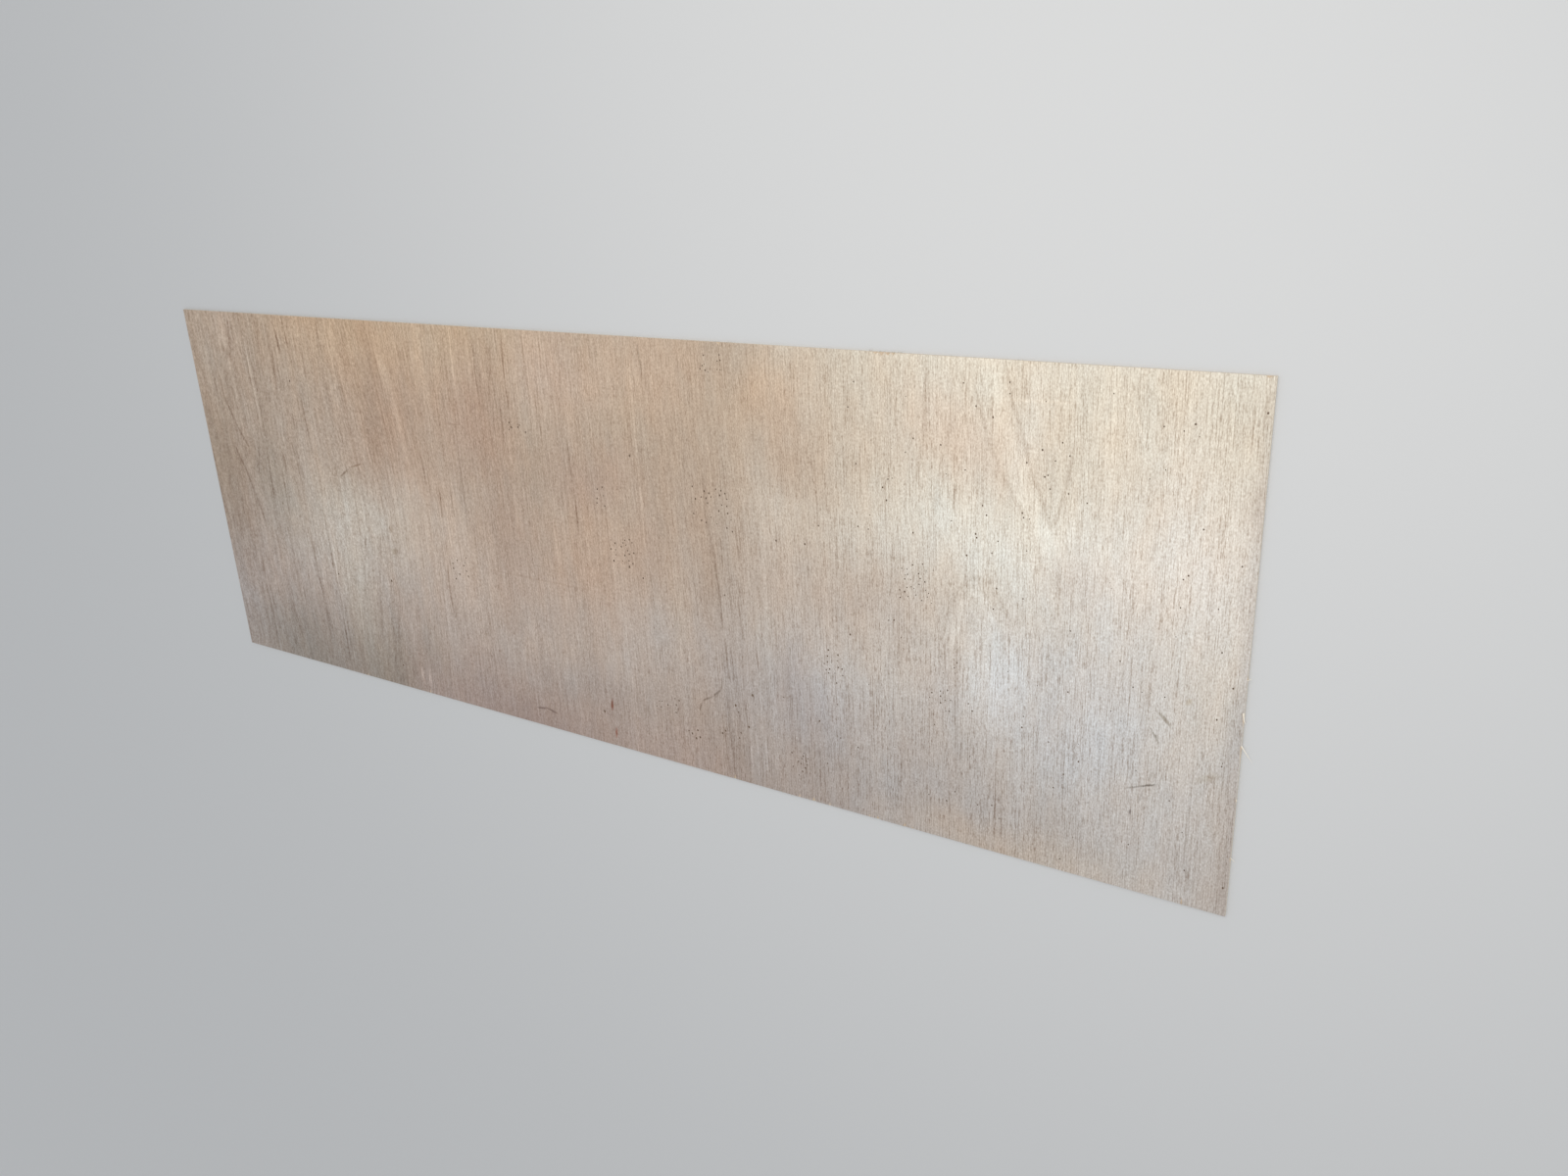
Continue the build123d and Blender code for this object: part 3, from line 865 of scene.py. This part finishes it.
def pinhole_cutter():
    """Small tapered plugs, a little longer along the grain, that stand half out of the face."""
    draw = random.Random(CORNER_SEED)
    tool = bmesh.new()
    for x, y, radius in pinhole_places():
        rings = []
        for flare, height in ((PINHOLE_FLARE, PINHOLE_DEPTH), (-PINHOLE_FLARE, -PINHOLE_DEPTH)):
            ring = []
            for side in range(PINHOLE_SIDES):
                angle = 2 * math.pi * side / PINHOLE_SIDES
                reach = radius * (1 + flare) * draw.uniform(*CORNER_SHARES)
                aside = reach * math.cos(angle)
                along = PINHOLE_STRETCH * reach * math.sin(angle)
                ring.append(tool.verts.new(place(x + aside, y + along, height)))
            rings.append(ring)
        top, floor = rings
        tool.faces.new(top)
        tool.faces.new(reversed(floor))
        for side in range(PINHOLE_SIDES):
            after = (side + 1) % PINHOLE_SIDES
            tool.faces.new((top[side], floor[side], floor[after], top[after]))
    # The walls that a plug leaves take the second of the sheet's materials.
    for face in tool.faces:
        face.material_index = 1
    return finished_mesh("pinhole_cutter", tool)


def add_object(name, data):
    """A new object in the scene."""
    made = bpy.data.objects.new(name, data)
    bpy.context.scene.collection.objects.link(made)
    return made


def add_piece(name, mesh, *materials):
    """A piece of the sheet that stays with it."""
    for material in materials:
        mesh.materials.append(material)
    piece = add_object(name, mesh)
    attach(piece, "root")
    return piece


# Vertices of the solid that lie closer together than this are one
WELD_DISTANCE = 1e-6


def welded_solid():
    """The solid sheet's mesh, with its neighbouring faces joined."""
    solid = bmesh.new()
    solid.from_mesh(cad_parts[SHEET].data)
    bmesh.ops.remove_doubles(solid, verts=solid.verts, dist=WELD_DISTANCE)
    for face in solid.faces:
        face.material_index = 0
    mesh = finished_mesh("sheet", solid)
    mesh.materials.clear()
    return mesh


def cut_pinholes(sheet):
    """Cuts the pinholes out of the sheet's mesh."""
    plugs = add_object("pinhole_cutter", pinhole_cutter())
    for material in sheet.data.materials:
        plugs.data.materials.append(material)
    cut = sheet.modifiers.new("pinholes", "BOOLEAN")
    cut.operation = "DIFFERENCE"
    cut.solver = "EXACT"
    cut.object = plugs
    bpy.context.view_layer.update()
    cut_sheet = sheet.evaluated_get(bpy.context.evaluated_depsgraph_get())
    mesh = bpy.data.meshes.new_from_object(cut_sheet)
    sheet.modifiers.remove(cut)
    sheet.data = mesh
    bpy.data.objects.remove(plugs)


def make_sheet():
    """The solid sheet with its pinholes cut out."""
    sheet = add_piece("sheet", welded_solid(), plywood_material(), pinhole_material())
    cut_pinholes(sheet)
    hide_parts(SHEET)


# Slivers that still hold on at the right end
SLIVERS = [
    # width, thickness, and points, each by how far past the end it is, its y, and its depth
    # below the good face
    (
        0.0011, 0.0006,
        (-0.0008, 0.4030, 0.0004), (0.0030, 0.4056, 0.0007), (0.0060, 0.4074, 0.0010),
    ),
    (
        0.0027, 0.0010,
        (-0.0014, 0.3530, 0.0007), (-0.0011, 0.3450, 0.0008),
        (0.0002, 0.3385, 0.0010), (0.0028, 0.3327, 0.0014),
    ),
    (
        0.0018, 0.0008,
        (-0.0008, 0.2985, 0.0005), (0.0038, 0.2922, 0.0003),
        (0.0110, 0.2822, 0.0006), (0.0184, 0.2713, 0.0016),
    ),
    (
        0.0010, 0.0005,
        (-0.0006, 0.2090, 0.0004), (0.0004, 0.2058, 0.0005), (0.0016, 0.2030, 0.0008),
    ),
    (
        0.0011, 0.0006,
        (-0.0008, 0.1065, 0.0005), (0.0038, 0.1030, 0.0006), (0.0082, 0.0992, 0.0012),
    ),
]
# The share of its width and thickness that a splinter loses on the way to its tip
SPLINTER_TAPER = 0.75

# The sawn edges: their y, and the direction out of the sheet
FRONT_EDGE = (0.0, -1)
BACK_EDGE = (WIDTH, 1)

# Fibres that the saw left
SAW_FUZZ = [
    # edge, from this x, to this x, how many, the longest
    (FRONT_EDGE, 0.010, 0.600, 60, 0.0022),
    (FRONT_EDGE, 0.600, 0.700, 14, 0.0030),
    (FRONT_EDGE, 0.700, 1.250, 55, 0.0022),
    (FRONT_EDGE, 1.250, 1.620, 40, 0.0024),
    (FRONT_EDGE, 1.620, 1.700, 30, 0.0040),
    (FRONT_EDGE, 1.700, 1.960, 50, 0.0026),
    (FRONT_EDGE, 1.960, 2.430, 60, 0.0022),
    (BACK_EDGE, 0.010, 1.480, 50, 0.0018),
    (BACK_EDGE, 1.520, 1.560, 10, 0.0026),
    (BACK_EDGE, 1.825, 1.885, 26, 0.0034),
    (BACK_EDGE, 1.900, 2.430, 30, 0.0018),
]
# Longer fibres by themselves at the front edge
LONG_FIBRES = [
    # x, length, lean
    (0.663, 0.0052, -0.3),
    (0.448, 0.0030, 0.2),
    (2.372, 0.0046, 0.5),
    (1.661, 0.0044, 0.6),
    (1.690, 0.0040, -0.4),
]
# How far out the points of a fibre are, for its length. It is rooted inside the edge.
FIBRE_POINTS = (-0.15, 0.35, 0.7, 1.0)
# The least and the most of what is drawn for a fibre: its length as a share of the longest, its
# depth below the good face, and its lean, curl and droop as slopes
FIBRE_LENGTHS = (0.25, 1.0)
FIBRE_DEPTHS = (0.0003, 0.0024)
FIBRE_LEANS = (-0.9, 0.9)
FIBRE_CURLS = (-0.5, 0.5)
FIBRE_DROOPS = (-0.1, 0.5)
FIBRE_WIDTHS = (0.0003, 0.0007)
FIBRE_THICKNESSES = (0.0002, 0.0004)
FIBRE_SEED = 23


def add_splinter(tool, points, width, thickness):
    """A thin strip through the points that narrows to a pointed tip."""
    rings = []
    for index, point in enumerate(points[:-1]):
        along = (points[index + 1] - points[max(index - 1, 0)]).normalized()
        side = along.cross(Vector((0, 0, 1))).normalized()
        over = side.cross(along)
        share = 1 - SPLINTER_TAPER * index / (len(points) - 1)
        aside = side * (width * share / 2)
        above = over * (thickness * share / 2)
        corners = (
            point - aside - above,
            point + aside - above,
            point + aside + above,
            point - aside + above,
        )
        rings.append([tool.verts.new(corner) for corner in corners])
    tip = tool.verts.new(points[-1])
    root, last = rings[0], rings[-1]
    tool.faces.new(root)
    for corner in range(len(root)):
        after = (corner + 1) % len(root)
        for ring, further in zip(rings, rings[1:]):
            tool.faces.new((ring[after], ring[corner], further[corner], further[after]))
        tool.faces.new((last[after], last[corner], tip))


def add_fibre(tool, draw, x, edge, length, lean):
    """One fibre that sticks out of a sawn edge and curls."""
    edge_y, outward = edge
    depth = draw.uniform(*FIBRE_DEPTHS)
    droop = draw.uniform(*FIBRE_DROOPS)
    curl = draw.uniform(*FIBRE_CURLS)
    points = []
    for share in FIBRE_POINTS:
        reach = share * length
        aside = reach * (lean + curl * share)
        height = -depth - droop * reach * max(share, 0.0)
        points.append(place(x + aside, edge_y + outward * reach, height))
    add_splinter(tool, points, draw.uniform(*FIBRE_WIDTHS), draw.uniform(*FIBRE_THICKNESSES))


def make_slivers():
    """The slivers on the right end."""
    tool = bmesh.new()
    for width, thickness, *points in SLIVERS:
        path = [place(LENGTH + past_end, y, -depth) for past_end, y, depth in points]
        add_splinter(tool, path, width, thickness)
    mesh = finished_mesh("slivers", tool)
    add_piece("slivers", mesh, splinter_material("fresh_wood", FRESH_WOOD))


def make_saw_fuzz():
    """The fibres along the sawn edges."""
    draw = random.Random(FIBRE_SEED)
    tool = bmesh.new()
    for edge, start, end, count, longest in SAW_FUZZ:
        for _ in range(count):
            length = longest * draw.uniform(*FIBRE_LENGTHS)
            x = draw.uniform(start, end)
            add_fibre(tool, draw, x, edge, length, draw.uniform(*FIBRE_LEANS))
    for x, length, lean in LONG_FIBRES:
        add_fibre(tool, draw, x, FRONT_EDGE, length, lean)
    mesh = finished_mesh("saw_fuzz", tool)
    add_piece("saw_fuzz", mesh, splinter_material("dusty_wood", DUSTY_WOOD))


# The set: a plain floor, a fill from all round, one broad soft lamp, and the camera, whose place
# and turns are the photograph's when the sheet is laid flat
FLOOR_HALF_SIDE = 14.0
FLOOR_COLOUR = (0.60, 0.61, 0.62, 1.0)
FLOOR_ROUGHNESS = 0.9
FILL_COLOUR = (0.97, 0.985, 1.0, 1.0)
FILL_STRENGTH = 0.73
LAMP_PLACE = (1.05, 1.0, 1.6)
LAMP_AIM = (0.38, 0.1, 0.0)
LAMP_SIZE = (2.2, 1.6)
LAMP_WATTS = 18
LAMP_COLOUR = (1.0, 0.95, 0.88)
CAMERA_PLACE = (1.5504, 0.7503, 1.7185)
CAMERA_TURNS = (-21.758, 32.363, -2.810)
SENSOR_WIDTH = 36.0
FOCAL_LENGTH = 28.28


def set_camera():
    """The photograph's view of the sheet."""
    camera = bpy.data.cameras.new("camera")
    camera.sensor_width = SENSOR_WIDTH
    camera.lens = FOCAL_LENGTH
    holder = add_object("camera", camera)
    holder.location = CAMERA_PLACE
    holder.rotation_euler = Euler([math.radians(turn) for turn in CAMERA_TURNS], "XYZ")
    bpy.context.scene.camera = holder


def light_the_set():
    """One broad soft lamp from the back right, and an even fill."""
    world = bpy.data.worlds.new("studio")
    world.use_nodes = True
    background = world.node_tree.nodes["Background"]
    background.inputs["Color"].default_value = FILL_COLOUR
    background.inputs["Strength"].default_value = FILL_STRENGTH
    bpy.context.scene.world = world
    lamp = bpy.data.lights.new("key", "AREA")
    lamp.shape = "RECTANGLE"
    lamp.size, lamp.size_y = LAMP_SIZE
    lamp.energy = LAMP_WATTS
    lamp.color = LAMP_COLOUR
    key = add_object("key", lamp)
    key.location = LAMP_PLACE
    aim = Vector(LAMP_AIM) - key.location
    key.rotation_euler = aim.to_track_quat("-Z", "Y").to_euler()


def lay_floor():
    """A wide plain floor under the sheet."""
    mesh = bpy.data.meshes.new("floor")
    corners = [(-1, -1), (1, -1), (1, 1), (-1, 1)]
    points = [(x * FLOOR_HALF_SIDE, y * FLOOR_HALF_SIDE, LOW.z) for x, y in corners]
    mesh.from_pydata(points, [], [(0, 1, 2, 3)])
    floor = add_object("floor", mesh)
    graph = Graph("floor_paint")
    graph.shader.inputs["Base Color"].default_value = FLOOR_COLOUR
    graph.shader.inputs["Roughness"].default_value = FLOOR_ROUGHNESS
    mesh.materials.append(graph.material)


set_camera()
light_the_set()
lay_floor()
make_sheet()
make_slivers()
make_saw_fuzz()

bpy.context.scene.view_settings.view_transform = "Standard"
